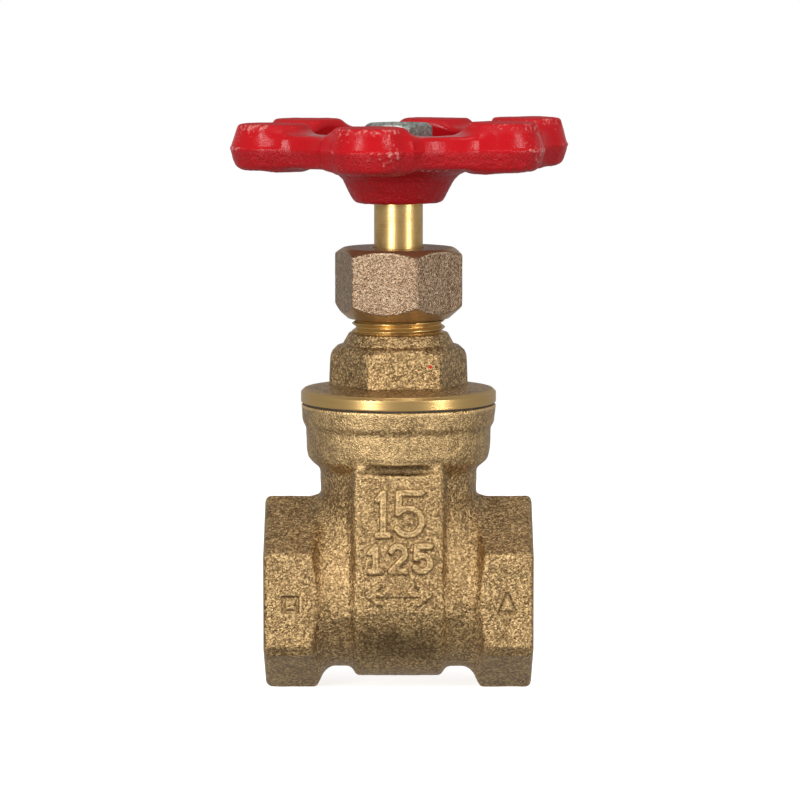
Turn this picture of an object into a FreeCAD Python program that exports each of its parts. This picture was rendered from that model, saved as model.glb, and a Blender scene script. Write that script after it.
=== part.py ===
"""A half-inch brass gate valve with a non-rising stem, as it comes apart on a bench.

Frame: millimetres, +Z up along the stem, +X along the pipe from inlet to outlet, -Y towards the front.
The origin is where the pipe's centreline crosses the stem's axis. The valve is modelled fully open: the
wedge is at the top of its travel, clear of the waterway, and turning the handwheel clockwise closes it.
"""

import FreeCAD, Part
import math, os

Vector = FreeCAD.Vector
X_AXIS, Z_AXIS, ORIGIN = Vector(1, 0, 0), Vector(0, 0, 1), Vector(0, 0, 0)

# Driving dimensions
END_TO_END = 44.0  # face to face of the two threaded ends
END_FLATS = 27.2  # across the flats of the ends' hexagons
PORT_R = 6.0  # waterway through the seats
PIPE_THREAD_R = 9.16  # crests of the half-inch taper pipe thread, drawn as a plain hole
PIPE_THREAD_DEPTH = 11.0
STEM_R = 4.0
STEM_PITCH = 3.0  # left-hand, so that turning clockwise lowers the wedge
STEM_TURNS = 4.75  # from open to closed
RUNNING_GAP = 0.05  # radial, where something turns in a hole

# Levels along the stem's axis
BODY_TOP = 31.15
FLANGE_BOTTOM = 31.6
FLANGE_TOP = 33.8
PLUG_BOTTOM = 24.6  # lower end of the bonnet's screwed plug
STUFFING_FLOOR = 38.5
BOSS_TOP = 43.1  # where the bonnet's upper thread starts
BONNET_TOP = 51.2
NUT_BOTTOM, NUT_TOP = 45.2, 56.8  # packing nut
HUB_BOTTOM, HUB_TOP = 64.2, 70.6
RIM_BOTTOM, RIM_TOP = 70.5, 75.8
LOBE_BOTTOM, LOBE_TOP = 70.0, 77.3
STEM_BOTTOM, STEM_TOP = 6.9, 77.0

# Body casting
HALF_LENGTH = END_TO_END / 2
END_CORNER_R = END_FLATS / math.sqrt(3)
BARREL_R = 12.6
DRUM_R, DRUM_HALF = 14.1, 7.35  # the seat housing: a band round the barrel that rises as a flat pad
NECK_R = 12.85
CHAMBER_R, CHAMBER_HALF = 10.0, 7.0
NECK_BORE_R = 10.3
PLUG_R = 12.6
GUIDE_HALF, GUIDE_IN = 1.0, 7.1  # the two ribs that guide the wedge
GUIDE_BOTTOM, GUIDE_TOP = -5.0, 23.0

# Wedge, named in its closed place
SEAT_SLOPE = math.radians(5.0)
WEDGE_HALF = 5.6  # half thickness at the pipe's centreline
WEDGE_R = 8.2
WEDGE_TOP = 13.25
WEDGE_NUT_BOTTOM = 7.2
SEAT_GAP = 0.03
SEAT_OUTER_R = 8.6
TRAVEL = STEM_PITCH * STEM_TURNS

# Stem
STEM_CORE_R, STEM_THREAD_R = 2.85, 3.7
STEM_THREAD_TOP = 27.2
THREAD_GAP = 0.15
RING_BOTTOM, RING_TOP, RING_R = 28.0, 30.6, 8.35  # the ring that holds the stem's collar up
COLLAR_BOTTOM, COLLAR_TOP, COLLAR_R = 30.75, 33.0, 6.4
THRUST_TOP = 33.4
SQUARE = 6.2  # across the flats of the stem's square end
TIP_R = 2.97

# Bonnet, packing and packing nut
FLANGE_R = 16.05
BONNET_FLATS, BONNET_HEX_TURN = 19.6, 5.3
BONNET_HEX_TOP = 40.9
STUFFING_R = 5.85
UPPER_THREAD_R, UPPER_THREAD_DEPTH, UPPER_PITCH = 7.65, 0.7, 1.25
PACKING_RINGS, PACKING_HEIGHT = 3, 2.2
PACKING_BASE = 0.8
NUT_FLATS, NUT_HEX_TURN = 18.8, -14.2
NUT_CEILING = 53.6

# Handwheel and what holds it on
LOBE_ANGLES = (-12.0, 51.0, 105.0, 164.0, 226.0, 288.0)  # from the front, as cast: not quite even
LOBE_CENTRE_R, LOBE_R = 21.65, 6.9
PARTING_LINE = 73.5
RIM_INNER_R, RIM_OUTER_R = 16.3, 24.0
VALLEY_CUT_R = 13.0
SPOKE_WIDTH = 7.0
SPOKE_BOTTOM, SPOKE_TOP = 69.7, 72.4
LOCK_WASHER_R, LOCK_WASHER_THICK = 4.95, 1.6
WHEEL_NUT_FLATS, WHEEL_NUT_TURN, WHEEL_NUT_HEIGHT = 10.0, -14.0, 5.0


def cylinder(radius, low, high, axis=Z_AXIS):
    """A cylinder about the origin's axis, from low to high along it."""
    return Part.makeCylinder(radius, high - low, axis * low, axis)


def tube(outer, inner, low, high):
    return cylinder(outer, low, high).cut(cylinder(inner, low - 1, high + 1))


def box(x, y, z):
    """A box from three (low, high) pairs."""
    size = [high - low for low, high in (x, y, z)]
    return Part.makeBox(*size, Vector(x[0], y[0], z[0]))


def revolve(points, axis=Z_AXIS):
    """A solid of revolution. Each point is (radius, along), or ((radius, along), (radius, along)) for an
    arc through the first of the two to the second. The outline is closed along the axis."""
    side = Vector(0, 0, 1) if axis == X_AXIS else Vector(1, 0, 0)

    def place(point):
        return side * point[0] + axis * point[1]

    start = points[0]
    edges, last = [], place((0, start[1]))
    if start[0] > 0:
        edges.append(Part.LineSegment(last, place(start)).toShape())
        last = place(start)
    for item in points[1:]:
        if isinstance(item[0], tuple):
            edges.append(Part.Arc(last, place(item[0]), place(item[1])).toShape())
            last = place(item[1])
        else:
            edges.append(Part.LineSegment(last, place(item)).toShape())
            last = place(item)
    foot = place((0, last.dot(axis)))
    if (foot - last).Length > 1e-6:
        edges.append(Part.LineSegment(last, foot).toShape())
    edges.append(Part.LineSegment(foot, place((0, start[1]))).toShape())
    return Part.Face(Part.Wire(edges)).revolve(ORIGIN, axis, 360)


def hexagon(flats, low, high, turn=0.0, axis=Z_AXIS):
    """A hexagonal prism. With turn 0 one flat faces the front; turn swings it towards +X, in degrees."""
    radius = flats / math.sqrt(3)
    corners = []
    for k in range(7):
        angle = math.radians(60 * k + 30 + turn)
        across, forward = radius * math.sin(angle), -radius * math.cos(angle)
        if axis == X_AXIS:
            corners.append(Vector(low, forward, across))
        else:
            corners.append(Vector(across, forward, low))
    return Part.Face(Part.makePolygon(corners)).extrude(axis * (high - low))


def square(width, low, high):
    half = width / 2
    return box((-half, half), (-half, half), (low, high))


def helical_ridge(root_r, crest_r, root_width, crest_width, pitch, low, high, left_hand=False):
    """The ridge of a screw thread from low to high, as a solid that laps into the core below it."""
    helix = Part.makeHelix(pitch, high - low, root_r, 0, left_hand)
    outline = [
        Vector(root_r, 0, -root_width / 2),
        Vector(crest_r, 0, -crest_width / 2),
        Vector(crest_r, 0, crest_width / 2),
        Vector(root_r, 0, root_width / 2),
    ]
    ridge = Part.Wire(helix).makePipeShell([Part.makePolygon([*outline, outline[0]])], True, True)
    ridge.translate(Z_AXIS * low)
    return ridge


def turned_to(shape, angles):
    """Copies of a shape, each turned about the stem's axis by one of the angles, in degrees."""
    copies = []
    for angle in angles:
        copy = shape.copy()
        copy.rotate(ORIGIN, Z_AXIS, angle)
        copies.append(copy)
    return copies


def join(shapes):
    return shapes[0].fuse(shapes[1:]).removeSplitter()


def changed(before, after):
    """The shape after a thread was added or cut. It says so if nothing happened."""
    if abs(after.Volume - before.Volume) < 1.0:
        print("a thread is missing")
    return after


def both_ends(shape):
    """The shape and its twin at the inlet end."""
    return [shape, shape.mirror(ORIGIN, X_AXIS)]


def tapered_slab(half, low, high, reach):
    """The space between two planes that lean apart upwards: half thick each way at height 0."""
    lean = math.tan(SEAT_SLOPE)
    corners = [
        Vector(half + low * lean, -reach, low),
        Vector(half + high * lean, -reach, high),
        Vector(-half - high * lean, -reach, high),
        Vector(-half - low * lean, -reach, low),
    ]
    return Part.Face(Part.makePolygon([*corners, corners[0]])).extrude(Vector(0, 2 * reach, 0))


# Body


def body_outside():
    barrel = revolve(
        [
            (BARREL_R, -HALF_LENGTH + 8.8),
            (BARREL_R, HALF_LENGTH - 8.8),
        ],
        X_AXIS,
    )
    drum = revolve(
        [
            (BARREL_R, -DRUM_HALF - 1.4),
            ((DRUM_R - 1.1, -DRUM_HALF - 0.6), (DRUM_R, -DRUM_HALF + 0.7)),
            (DRUM_R, DRUM_HALF - 0.7),
            ((DRUM_R - 1.1, DRUM_HALF + 0.6), (BARREL_R, DRUM_HALF + 1.4)),
        ],
        X_AXIS,
    )
    pad = box((-DRUM_HALF, DRUM_HALF), (-DRUM_R, DRUM_R), (0, 23.0))
    neck = revolve(
        [
            (NECK_R, 0),
            (NECK_R, 18.2),
            ((13.1, 20.0), (13.9, 21.4)),
            ((14.7, 22.3), (15.0, 23.6)),
            (15.4, 27.4),
            ((15.3, 27.9), (15.6, 28.4)),
            (16.0, BODY_TOP),
        ]
    )
    flare = revolve(
        [
            (0, HALF_LENGTH - 13.2),
            (BARREL_R, HALF_LENGTH - 11.4),
            ((BARREL_R + 0.3, HALF_LENGTH - 10.0), (END_FLATS / 2 - 0.1, HALF_LENGTH - 8.7)),
            (END_FLATS / 2 + 0.5, HALF_LENGTH - 8.3),
            (END_CORNER_R + 0.2, HALF_LENGTH - 7.4),
            (END_CORNER_R + 0.2, HALF_LENGTH - 0.9),
            (END_CORNER_R - 0.8, HALF_LENGTH),
        ],
        X_AXIS,
    )
    hex_end = hexagon(END_FLATS, HALF_LENGTH - 13.2, HALF_LENGTH, axis=X_AXIS).common(flare)
    return join([barrel, drum, pad, neck, *both_ends(hex_end)])


def body_inside():
    """Everything that is cut out of the casting."""
    chamber = cylinder(CHAMBER_R, -CHAMBER_HALF, CHAMBER_HALF, X_AXIS).fuse(
        box((-CHAMBER_HALF, CHAMBER_HALF), (-CHAMBER_R, CHAMBER_R), (0, 10.5))
    )
    neck_bore = cylinder(NECK_BORE_R, 9.6, BODY_TOP + 1)
    plug_bore = cylinder(PLUG_R + RUNNING_GAP, PLUG_BOTTOM - 0.8, BODY_TOP + 1)
    waterway = cylinder(PORT_R, -HALF_LENGTH, HALF_LENGTH, X_AXIS)
    socket = revolve(
        [
            (PIPE_THREAD_R, HALF_LENGTH - PIPE_THREAD_DEPTH),
            (PIPE_THREAD_R, HALF_LENGTH - 1.0),
            (PIPE_THREAD_R + 1.44, HALF_LENGTH),
            (PIPE_THREAD_R + 1.44, HALF_LENGTH + 1),
        ],
        X_AXIS,
    )
    return [chamber, neck_bore, plug_bore, waterway, *both_ends(socket)]


def seats():
    """The two slanted seat rings, which are part of the casting."""
    block = cylinder(SEAT_OUTER_R, -CHAMBER_HALF - 0.5, CHAMBER_HALF + 0.5, X_AXIS)
    space = tapered_slab(WEDGE_HALF + SEAT_GAP, -12, 12, 12)
    bore = cylinder(PORT_R, -HALF_LENGTH, HALF_LENGTH, X_AXIS)
    return block.cut(space.fuse(bore))


def guides():
    rib = box((-GUIDE_HALF, GUIDE_HALF), (GUIDE_IN, 11.5), (GUIDE_BOTTOM, GUIDE_TOP))
    return [rib, rib.mirror(ORIGIN, Vector(0, 1, 0))]


def valve_body():
    hollow = body_outside().cut(body_inside())
    return join([hollow, *seats().Solids, *guides()])


def bonnet_gasket():
    return tube(15.7, PLUG_R + 0.2, BODY_TOP, FLANGE_BOTTOM)


# Bonnet


def bonnet():
    plug = cylinder(PLUG_R, PLUG_BOTTOM, FLANGE_BOTTOM)
    flange = revolve(
        [
            (FLANGE_R, FLANGE_BOTTOM),
            (FLANGE_R, FLANGE_TOP - 0.3),
            (FLANGE_R - 0.3, FLANGE_TOP),
            (11.0, FLANGE_TOP + 0.2),
        ]
    )
    shoulder = revolve(
        [
            (12.5, FLANGE_TOP - 1),
            (12.5, 38.8),
            (11.3, 39.6),
            ((10.4, 40.9), (9.0, 41.3)),
            ((8.6, 41.7), (8.5, 42.2)),
            (8.4, BOSS_TOP - 0.3),
            (8.1, BOSS_TOP),
        ]
    )
    hex_part = hexagon(BONNET_FLATS, FLANGE_TOP - 1, BONNET_HEX_TOP, BONNET_HEX_TURN).common(shoulder)
    boss = shoulder.common(cylinder(8.6, FLANGE_TOP, BOSS_TOP))
    root_r = UPPER_THREAD_R - UPPER_THREAD_DEPTH
    core = cylinder(root_r, BOSS_TOP - 1, BONNET_TOP)
    ridge = helical_ridge(
        root_r - 0.1, UPPER_THREAD_R, 1.1, 0.2, UPPER_PITCH, BOSS_TOP, BONNET_TOP + 1
    ).common(tube(UPPER_THREAD_R + 1, root_r - 0.5, BOSS_TOP + 0.3, BONNET_TOP - 0.2))
    solid = join([plug, flange, hex_part, boss, core])
    holes = [
        cylinder(10.6, PLUG_BOTTOM - 1, RING_BOTTOM),
        cylinder(RING_R + RUNNING_GAP, PLUG_BOTTOM - 1, RING_TOP),
        cylinder(COLLAR_R + 0.3, PLUG_BOTTOM, THRUST_TOP),
        cylinder(STEM_R + RUNNING_GAP, PLUG_BOTTOM, BONNET_TOP),
        cylinder(STUFFING_R, STUFFING_FLOOR, BONNET_TOP + 1),
    ]
    hollow = solid.cut(holes)
    return changed(hollow, hollow.fuse(ridge))


def stem_retaining_ring():
    """Screwed up into the bonnet under the stem's collar. Its two slots take a pin spanner."""
    ring = tube(RING_R, STEM_R, RING_BOTTOM, RING_TOP)
    slot = box((5.6, 9.0), (-1.0, 1.0), (RING_BOTTOM - 1, RING_BOTTOM + 1.2))
    return ring.cut(turned_to(slot, (0, 180)))


def thrust_washer():
    return tube(COLLAR_R, STEM_R + 0.1, COLLAR_TOP + 0.02, THRUST_TOP)


# Stuffing box


def packing_washer():
    return tube(STUFFING_R - 0.02, STEM_R + RUNNING_GAP, STUFFING_FLOOR, STUFFING_FLOOR + PACKING_BASE)


def packing_ring(index):
    low = STUFFING_FLOOR + PACKING_BASE + index * PACKING_HEIGHT
    return tube(STUFFING_R - 0.02, STEM_R + 0.03, low, low + PACKING_HEIGHT)


def packing_gland():
    low = STUFFING_FLOOR + PACKING_BASE + PACKING_RINGS * PACKING_HEIGHT
    outside = revolve(
        [
            (STUFFING_R - 0.1, low),
            (STUFFING_R - 0.1, BONNET_TOP + 0.4),
            (6.75, BONNET_TOP + 0.4),
            (6.75, NUT_CEILING - 0.3),
            (6.45, NUT_CEILING),
        ]
    )
    return outside.cut(cylinder(STEM_R + 0.08, low - 1, NUT_CEILING + 1))


def packing_nut():
    corner_r = NUT_FLATS / math.sqrt(3)
    turned = revolve(
        [
            (8.3, NUT_BOTTOM),
            (corner_r, NUT_BOTTOM + 2.2),
            (corner_r, NUT_TOP - 1.3),
            (9.1, NUT_TOP),
        ]
    )
    blank = hexagon(NUT_FLATS, NUT_BOTTOM, NUT_TOP, NUT_HEX_TURN).common(turned)
    minor_r = UPPER_THREAD_R - UPPER_THREAD_DEPTH + 0.1
    relief_bottom = BONNET_TOP - 0.4
    mouth = revolve(
        [(8.0, NUT_BOTTOM - 1), (8.0, NUT_BOTTOM), (minor_r, NUT_BOTTOM + 0.9), (minor_r, NUT_CEILING)]
    )
    relief = cylinder(UPPER_THREAD_R + 0.35, relief_bottom, NUT_CEILING)
    stem_hole = cylinder(STEM_R + 0.25, NUT_CEILING - 1, NUT_TOP + 1)
    thread = helical_ridge(
        minor_r - 0.1, UPPER_THREAD_R + 0.1, 1.2, 0.3, UPPER_PITCH, BOSS_TOP, BONNET_TOP + 2
    ).common(tube(UPPER_THREAD_R + 1, minor_r - 0.5, NUT_BOTTOM - 0.5, relief_bottom + 0.3))
    hollow = blank.cut([mouth, relief, stem_hole])
    return changed(hollow, hollow.cut(thread))


# Stem and wedge


def stem():
    shaft = revolve(
        [
            (STEM_CORE_R - 0.5, STEM_BOTTOM),
            (STEM_CORE_R, STEM_BOTTOM + 0.5),
            (STEM_CORE_R, RING_BOTTOM),
            (STEM_R - RUNNING_GAP, RING_BOTTOM),
            (STEM_R - RUNNING_GAP, COLLAR_BOTTOM),
            (COLLAR_R, COLLAR_BOTTOM),
            (COLLAR_R, COLLAR_TOP),
            (STEM_R, COLLAR_TOP),
            (STEM_R, HUB_BOTTOM),
        ]
    )
    ridge = helical_ridge(
        STEM_CORE_R - 0.1,
        STEM_THREAD_R,
        1.7,
        1.1,
        STEM_PITCH,
        STEM_BOTTOM - STEM_PITCH,
        STEM_THREAD_TOP + STEM_PITCH,
        left_hand=True,
    ).common(cylinder(STEM_R, STEM_BOTTOM + 0.4, STEM_THREAD_TOP))
    drive = square(SQUARE, HUB_BOTTOM - 0.5, HUB_TOP).common(cylinder(STEM_R, HUB_BOTTOM - 0.5, HUB_TOP))
    tip = revolve(
        [
            (TIP_R, HUB_TOP - 1),
            (TIP_R, STEM_TOP - 0.5),
            (TIP_R - 0.5, STEM_TOP),
        ]
    )
    return join([shaft, ridge, drive, tip])


def wedge():
    """The gate, made in its closed place and then lifted to the top of its travel."""
    faces = tapered_slab(WEDGE_HALF, -WEDGE_R, WEDGE_TOP, WEDGE_R)
    disc = cylinder(WEDGE_R, -CHAMBER_HALF, CHAMBER_HALF, X_AXIS).common(faces)
    shoulders = box((-CHAMBER_HALF, CHAMBER_HALF), (-6.6, 6.6), (0, 9.2)).common(faces)
    nut_block = box((-5.9, 5.9), (-5.4, 5.4), (0, WEDGE_TOP))
    blank = join([disc, shoulders, nut_block])
    groove = box((-GUIDE_HALF - 0.25, GUIDE_HALF + 0.25), (GUIDE_IN - 0.3, 12), (-12, 20))
    cuts = [
        groove,
        groove.mirror(ORIGIN, Vector(0, 1, 0)),
        cylinder(STEM_THREAD_R + 0.25, -WEDGE_R - 1, WEDGE_NUT_BOTTOM),
        cylinder(STEM_CORE_R + THREAD_GAP, 0, WEDGE_TOP + 1),
    ]
    gate = blank.cut(cuts)
    gate.translate(Z_AXIS * TRAVEL)
    nut_bottom, nut_top = WEDGE_NUT_BOTTOM + TRAVEL, WEDGE_TOP + TRAVEL
    thread = helical_ridge(
        STEM_CORE_R,
        STEM_THREAD_R + THREAD_GAP,
        2.0,
        1.4,
        STEM_PITCH,
        STEM_BOTTOM - STEM_PITCH,
        STEM_THREAD_TOP + STEM_PITCH,
        left_hand=True,
    ).common(tube(STEM_R + 1, STEM_CORE_R - 0.4, nut_bottom - 0.4, nut_top + 0.4))
    return changed(gate, gate.cut(thread))


# Handwheel


def hub():
    return revolve(
        [
            (6.7, HUB_BOTTOM),
            ((7.1, HUB_BOTTOM + 0.2), (7.3, HUB_BOTTOM + 0.7)),
            (8.8, HUB_BOTTOM + 3.8),
            ((9.7, HUB_BOTTOM + 4.8), (11.4, HUB_BOTTOM + 5.4)),
            (11.4, HUB_TOP),
        ]
    )


def valley_cutter(angle, next_angle):
    """A cylinder that hollows the rim between two lobes and touches both."""
    half_gap = math.radians(next_angle - angle) / 2
    reach = LOBE_R + VALLEY_CUT_R
    side = LOBE_CENTRE_R * math.sin(half_gap)
    centre_r = LOBE_CENTRE_R * math.cos(half_gap) + math.sqrt(reach**2 - side**2)
    cutter = cylinder(VALLEY_CUT_R, RIM_BOTTOM - 1, RIM_TOP + 1)
    cutter.translate(Vector(0, -centre_r, 0))
    return turned_to(cutter, [(angle + next_angle) / 2])[0]


def rim():
    ring = tube(RIM_OUTER_R, RIM_INNER_R, RIM_BOTTOM, RIM_TOP)
    next_angles = (*LOBE_ANGLES[1:], LOBE_ANGLES[0] + 360)
    ring = ring.cut([valley_cutter(*pair) for pair in zip(LOBE_ANGLES, next_angles)])
    lobe = revolve(
        [
            (LOBE_R - 1.9, LOBE_BOTTOM),
            ((LOBE_R - 0.9, LOBE_BOTTOM + 0.9), (LOBE_R, PARTING_LINE)),
            (LOBE_R - 1.1, LOBE_TOP - 0.5),
            (LOBE_R - 1.6, LOBE_TOP),
        ]
    )
    lobe.translate(Vector(0, -LOBE_CENTRE_R, 0))
    inside = cylinder(RIM_INNER_R, LOBE_BOTTOM - 1, LOBE_TOP + 1)
    return join([ring, *turned_to(lobe.cut(inside), LOBE_ANGLES)])


def handwheel():
    spoke = box((-SPOKE_WIDTH / 2, SPOKE_WIDTH / 2), (-RIM_INNER_R - 1, -9), (SPOKE_BOTTOM, SPOKE_TOP))
    hole = square(SQUARE + 0.1, HUB_BOTTOM - 1, SPOKE_TOP + 1).common(
        cylinder(STEM_R + RUNNING_GAP, HUB_BOTTOM - 1, SPOKE_TOP + 1)
    )
    return join([hub(), rim(), *turned_to(spoke, LOBE_ANGLES[::2])]).cut(hole)


def wheel_lock_washer():
    """A split spring washer."""
    ring = tube(LOCK_WASHER_R, TIP_R + 0.15, HUB_TOP, HUB_TOP + LOCK_WASHER_THICK)
    return ring.cut(box((0, LOCK_WASHER_R + 1), (-0.4, 0.4), (HUB_TOP - 1, HUB_TOP + 3)))


def wheel_nut():
    low = HUB_TOP + LOCK_WASHER_THICK
    high = low + WHEEL_NUT_HEIGHT
    corner_r = WHEEL_NUT_FLATS / math.sqrt(3)
    turned = revolve([(corner_r, low), (corner_r, high - 0.6), (corner_r - 1.0, high)])
    blank = hexagon(WHEEL_NUT_FLATS, low, high, WHEEL_NUT_TURN).common(turned)
    return blank.cut(cylinder(TIP_R + 0.03, low - 1, high + 1))


def parts():
    made = {
        "valve_body": valve_body(),
        "bonnet_gasket": bonnet_gasket(),
        "bonnet": bonnet(),
        "stem_retaining_ring": stem_retaining_ring(),
        "thrust_washer": thrust_washer(),
        "packing_washer": packing_washer(),
        "packing_gland": packing_gland(),
        "packing_nut": packing_nut(),
        "stem": stem(),
        "wedge": wedge(),
        "handwheel": handwheel(),
        "wheel_lock_washer": wheel_lock_washer(),
        "wheel_nut": wheel_nut(),
    }
    for index in range(PACKING_RINGS):
        made[f"packing_ring_{index + 1}"] = packing_ring(index)
    return made


os.makedirs("parts", exist_ok=True)
for name, shape in parts().items():
    if not shape.isValid() or len(shape.Solids) != 1:
        print(name, "is not one valid solid:", shape.isValid(), len(shape.Solids))
    shape.exportStep(f"parts/{name}.step")
    print(name, round(shape.Volume, 1), "mm3")
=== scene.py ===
import math

import bpy
import numpy as np
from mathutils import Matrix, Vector


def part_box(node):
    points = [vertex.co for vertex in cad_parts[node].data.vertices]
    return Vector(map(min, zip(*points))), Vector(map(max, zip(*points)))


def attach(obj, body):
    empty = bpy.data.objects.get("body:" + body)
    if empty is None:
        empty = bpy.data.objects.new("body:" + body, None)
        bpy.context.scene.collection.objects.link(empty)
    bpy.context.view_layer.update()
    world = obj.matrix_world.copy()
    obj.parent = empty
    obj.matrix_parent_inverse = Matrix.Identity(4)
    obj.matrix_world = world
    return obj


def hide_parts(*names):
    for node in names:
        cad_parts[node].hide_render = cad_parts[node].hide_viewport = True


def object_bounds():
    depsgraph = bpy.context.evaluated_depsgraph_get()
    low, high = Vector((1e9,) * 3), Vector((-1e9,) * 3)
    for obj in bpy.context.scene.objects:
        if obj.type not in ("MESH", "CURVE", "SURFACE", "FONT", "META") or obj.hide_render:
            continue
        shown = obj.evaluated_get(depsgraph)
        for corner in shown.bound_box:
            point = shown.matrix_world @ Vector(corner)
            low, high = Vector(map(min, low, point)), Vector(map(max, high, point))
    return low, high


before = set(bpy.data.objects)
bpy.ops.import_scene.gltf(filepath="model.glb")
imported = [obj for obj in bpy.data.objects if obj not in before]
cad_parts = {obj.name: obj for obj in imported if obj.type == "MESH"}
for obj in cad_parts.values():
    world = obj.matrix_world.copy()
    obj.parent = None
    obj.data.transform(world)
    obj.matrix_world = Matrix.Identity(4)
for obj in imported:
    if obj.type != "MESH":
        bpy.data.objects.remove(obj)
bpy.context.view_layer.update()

# The cast and machined pieces are worked out as signed distances in millimetres and turned into meshes. The
# small standard pieces stay as the frame has them, with better materials.
MM = 0.001


def span(node):
    """A CAD node's lowest and highest corners, in millimetres."""
    low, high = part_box(node)
    return np.array(low) / MM, np.array(high) / MM


BODY_LOW, BODY_HIGH = span("valve_body")
BONNET_LOW, BONNET_HIGH = span("bonnet")
NUT_LOW, NUT_HIGH = span("packing_nut")
WHEEL_LOW, WHEEL_HIGH = span("handwheel")
WHEEL_NUT_LOW, WHEEL_NUT_HIGH = span("wheel_nut")

# Body
HALF_LENGTH = BODY_HIGH[0]
BODY_TOP = BODY_HIGH[2]
END_FLATS, END_ROUND = 27.9, 0.5
END_DROP = 0.25  # the cast hexagons sit a little below the pipe's axis
END_CORNER_R = END_FLATS / math.sqrt(3)
END_SHOULDER, END_FLARE = 14.3, 2.3  # where the hexagons' inner faces start, and how steep they are
EDGE_GROOVE_OUT, EDGE_GROOVE_DROP, EDGE_GROOVE_R = 14.35, 8.75, 1.15  # along the flats' lower edges
BARREL_R = 12.55
DRUM_R, DRUM_HALF = 14.1, 7.35
PAD_TOP = 22.0
NECK_R = 12.85
COLLAR_OUTLINE = [
    (19.9, 12.0),
    (21.3, 13.9),
    (22.2, 14.8),
    (23.4, 15.1),
    (27.4, 15.25),
    (28.1, 15.75),
    (BODY_TOP, 16.0),
]
CREASE_HEIGHT = 21.6  # the crease between collar and pad
PORT_R = 6.0
CHAMBER_R, CHAMBER_HALF = 10.0, 7.0
NECK_BORE_R, NECK_BORE_FOOT = 10.3, 9.6
PLUG_BORE_R, PLUG_BORE_FOOT = 12.65, 23.8
SEAT_R, SEAT_GAP, SEAT_SLOPE = 8.6, 5.7, math.tan(math.radians(5.0))
GUIDE_HALF, GUIDE_IN = 1.0, 7.1
SOCKET_DEPTH, CREST_R = 11.0, 9.2
PIPE_PITCH, PIPE_THREAD = 1.814, 1.25
PIPE_TAPER = 1 / 32

# Bonnet and packing nut
FLANGE_R, FLANGE_BOTTOM = BONNET_HIGH[0], 31.4  # its edge comes down a little over the gasket
FLANGE_OUTLINE = [(FLANGE_BOTTOM, FLANGE_R), (33.1, FLANGE_R), (33.6, FLANGE_R - 0.5), (34.4, 10.5)]
BONNET_FLATS, BONNET_TURN = 20.1, math.radians(5.3)
CROWN_OUTLINE = [(33, 12.1), (38.9, 11.4), (39.9, 10.9), (40.7, 10.0), (41.0, 8.9), (42.4, 8.2)]
NECK_THREAD_R, NECK_THREAD_DEPTH, NECK_PITCH, NECK_THREAD_FOOT = 7.65, 0.7, 1.25, 43.1
STUFFING_R, STUFFING_FLOOR = 5.85, 38.5
STEM_R = 4.0
BONNET_BORES = [  # radius, bottom and top
    (10.6, BONNET_LOW[2] - 1, 28.0),
    (8.4, BONNET_LOW[2] - 1, 30.6),
    (6.7, BONNET_LOW[2] - 1, 33.4),
    (STEM_R + 0.05, BONNET_LOW[2] - 1, BONNET_HIGH[2]),
    (STUFFING_R, STUFFING_FLOOR, BONNET_HIGH[2] + 1),
]
NUT_FLATS, NUT_TURN = 18.8, math.radians(-14.2)

# Handwheel
LOBE_ANGLES = [math.radians(a) for a in (-12.0, 50.0, 103.0, 163.0, 224.5, 290.0)]
LOBE_CENTRE_R, VALLEY_CUT_R = 21.65, 13.0
PARTING = 73.5
RIM_BOTTOM, RIM_TOP = 70.5, 75.8
LOBE_BOTTOM, LOBE_R = 70.0, 6.9
LOBE_TOPS = (77.3, 77.9, 77.9, 77.1, 77.2, 77.4)  # as cast
WHEEL_NUT_FLATS, WHEEL_NUT_TURN = 10.0, math.radians(-14.0)


# Signed distances: below zero inside the metal


def join(a, b, fillet):
    """Union with a round fillet in the corner."""
    corner = np.hypot(np.maximum(fillet - a, 0), np.maximum(fillet - b, 0))
    return np.maximum(fillet, np.minimum(a, b)) - corner


def meet(a, b, rounding):
    """Intersection with a round edge."""
    corner = np.hypot(np.maximum(rounding + a, 0), np.maximum(rounding + b, 0))
    return np.minimum(-rounding, np.maximum(a, b)) + corner


def cut(a, b, rounding):
    """a with b taken out of it."""
    return meet(a, -b, rounding)


def slab(value, low, high):
    return np.maximum(low - value, value - high)


def hexagon(u, v, flats, turn, rounding):
    """A hexagonal bar; with turn 0 one flat faces down v."""
    distance = None
    for k in range(3):
        angle = turn + k * math.pi / 3
        side = np.abs(u * math.sin(angle) - v * math.cos(angle)) - flats / 2
        distance = side if distance is None else meet(distance, side, rounding)
    return distance


def turned(radius, height, outline, rounding=0.0, blur=0.0):
    """A solid turned on the stem's axis, from (height, radius) pairs, flat at both ends. blur softens the
    bends of its outline over that height."""
    heights, radii = zip(*outline)
    level = sum(np.interp(height + shift * blur, heights, radii) for shift in (-1, -0.5, 0, 0.5, 1)) / 5
    return meet((radius - level) * 0.85, slab(height, heights[0], heights[-1]), rounding)


def wave(turns):
    """A triangle wave from 0 to 1 and back for each whole turn, flattened a little at both ends."""
    ramp = np.abs((turns % 1.0) * 2 - 1)
    return np.clip(ramp * 1.25 - 0.125, 0, 1)


HASH_PRIMES = (374761393, 668265263, 1442695041)


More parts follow.
